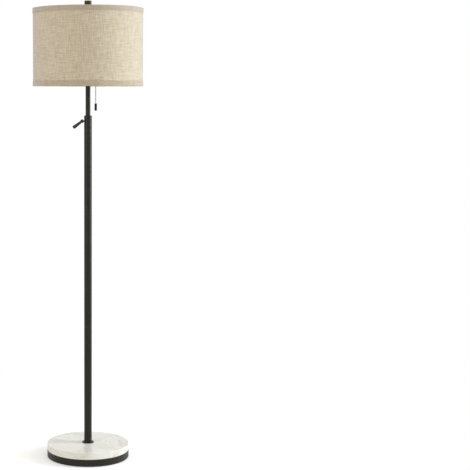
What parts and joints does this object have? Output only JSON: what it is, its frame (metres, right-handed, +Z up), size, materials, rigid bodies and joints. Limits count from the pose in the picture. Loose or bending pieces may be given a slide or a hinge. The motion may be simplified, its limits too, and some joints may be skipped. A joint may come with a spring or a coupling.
{
  "type": "adjustable floor lamp",
  "caption": "Floor lamp with a round stone-topped base, a telescoping pole with a lever clamp, a pull-chain socket, a harp and a linen drum shade.",
  "frame": {"origin": "centre of the base, on the floor, on the pole's axis", "axes": "+Z up along the pole; -X towards the clamp lever; +X towards the pull chain; +Y towards the rear, where the cord inlet is"},
  "size_m": [0.356, 0.356, 1.4945],
  "materials": {
    "pad_rubber": "matt black rubber",
    "base_felt": "pressed black felt",
    "cast_weight": "rough as cast",
    "black_enamel": "satin black-bronze enamel",
    "black_nylon": "moulded nylon",
    "white_marble": "honed white marble with grey-beige veins",
    "dark_bronze": "satin oil-rubbed bronze lacquer",
    "dark_bronze_hardware": "oil-rubbed bronze, rubbed at the edges",
    "bronze_finial": "brushed oil-rubbed bronze",
    "zinc_steel": "zinc plated",
    "white_nylon": "turned natural nylon",
    "plain_brass": "plain brass",
    "antique_brass": "antique brass plate",
    "bronze_socket": "dark bronze plate",
    "bronze_chain": "dark bronze plate",
    "socket_card": "vulcanised card",
    "black_phenolic": "moulded phenolic",
    "white_enamel": "white enamelled wire",
    "linen": "natural slubbed linen on a stiff white liner",
    "linen_trim": "the same linen, folded",
    "bulb_metal": "rolled screw cap",
    "bulb_plastic": "white moulded plastic",
    "bulb_opal": "opal diffuser"
  },
  "bodies": {
    "stand": {"foot_pads": "pad_rubber", "bottom_cover": "base_felt", "base_weight": "cast_weight", "base_pan": "black_enamel", "cord_gland": "black_nylon", "gland_nut": "black_nylon", "marble_slab": "white_marble", "pole_flange": "dark_bronze", "tie_rod": "zinc_steel", "lock_washer": "zinc_steel", "tie_nut": "zinc_steel", "pole_foot_plug": "zinc_steel", "lower_pole": "dark_bronze", "lower_coupler": "zinc_steel", "middle_pole": "dark_bronze", "upper_coupler": "zinc_steel", "top_pole": "dark_bronze", "clamp_collar": "dark_bronze", "collar_bushing": "white_nylon"},
    "clamp_shoe": {"clamp_pad": "plain_brass"},
    "lever": {"clamp_screw": "dark_bronze_hardware", "lever_handle": "dark_bronze_hardware"},
    "slider": {"guide_bush": "white_nylon"},
    "head": {"retaining_rings": "zinc_steel", "upper_tube": "dark_bronze", "top_nipple": "zinc_steel", "harp_saddle": "antique_brass", "socket_cap": "bronze_socket", "socket_shell": "bronze_socket", "socket_liner": "socket_card", "switch_body": "black_phenolic", "screw_shell": "plain_brass", "centre_contact": "plain_brass", "chain_guide": "bronze_socket", "harp_bow": "antique_brass", "harp_stud": "antique_brass", "spider": "white_enamel", "bottom_ring": "white_enamel", "shade_drum": "linen", "top_trim": "linen_trim", "bottom_trim": "linen_trim", "finial": "bronze_finial", "bulb_cap": "bulb_metal", "bulb_body": "bulb_plastic", "bulb_globe": "bulb_opal"},
    "switch_link": {"pull_link": "bronze_chain"},
    "pull_chain": {"bead_chain": "bronze_chain", "chain_knob": "dark_bronze_hardware"},
    "front_lock": {"front_sleeve": "antique_brass"},
    "rear_lock": {"rear_sleeve": "antique_brass"}
  },
  "joints": [
    {"name": "screw_advance", "type": "slide", "parent": "stand", "child": "clamp_shoe", "axis": [-1, 0, 0], "range_m": [0, 0.0005]},
    {"name": "lever_turn", "type": "hinge", "parent": "clamp_shoe", "child": "lever", "pos_m": [-0.022, 0, 1.1105], "axis": [-1, 0, 0], "range_deg": [0, 180]},
    {"name": "height_slide", "type": "slide", "parent": "stand", "child": "slider", "axis": [0, 0, 1], "range_m": [0, 0.25]},
    {"name": "head_swivel", "type": "hinge", "parent": "slider", "child": "head", "pos_m": [0, 0, 1.1285], "axis": [0, 0, 1], "range_deg": [-170, 170]},
    {"name": "chain_pull", "type": "slide", "parent": "head", "child": "switch_link", "axis": [0, 0, -1], "range_m": [0, 0.012], "stiffness_N_per_m": 120, "springref_m": -0.02},
    {"name": "chain_swing", "type": "hinge", "parent": "switch_link", "child": "pull_chain", "pos_m": [0.0288, 0, 1.2687], "axis": [1, 0, 0], "range_deg": [-20, 20]},
    {"name": "front_sleeve_lift", "type": "slide", "parent": "head", "child": "front_lock", "axis": [0, 0, 1], "range_m": [0, 0.012]},
    {"name": "rear_sleeve_lift", "type": "slide", "parent": "head", "child": "rear_lock", "axis": [0, 0, 1], "range_m": [0, 0.012]}
  ],
  "couplings": [
    {"joint": "lever_turn", "follows": "screw_advance", "rad_per_m": 6283.2}
  ]
}
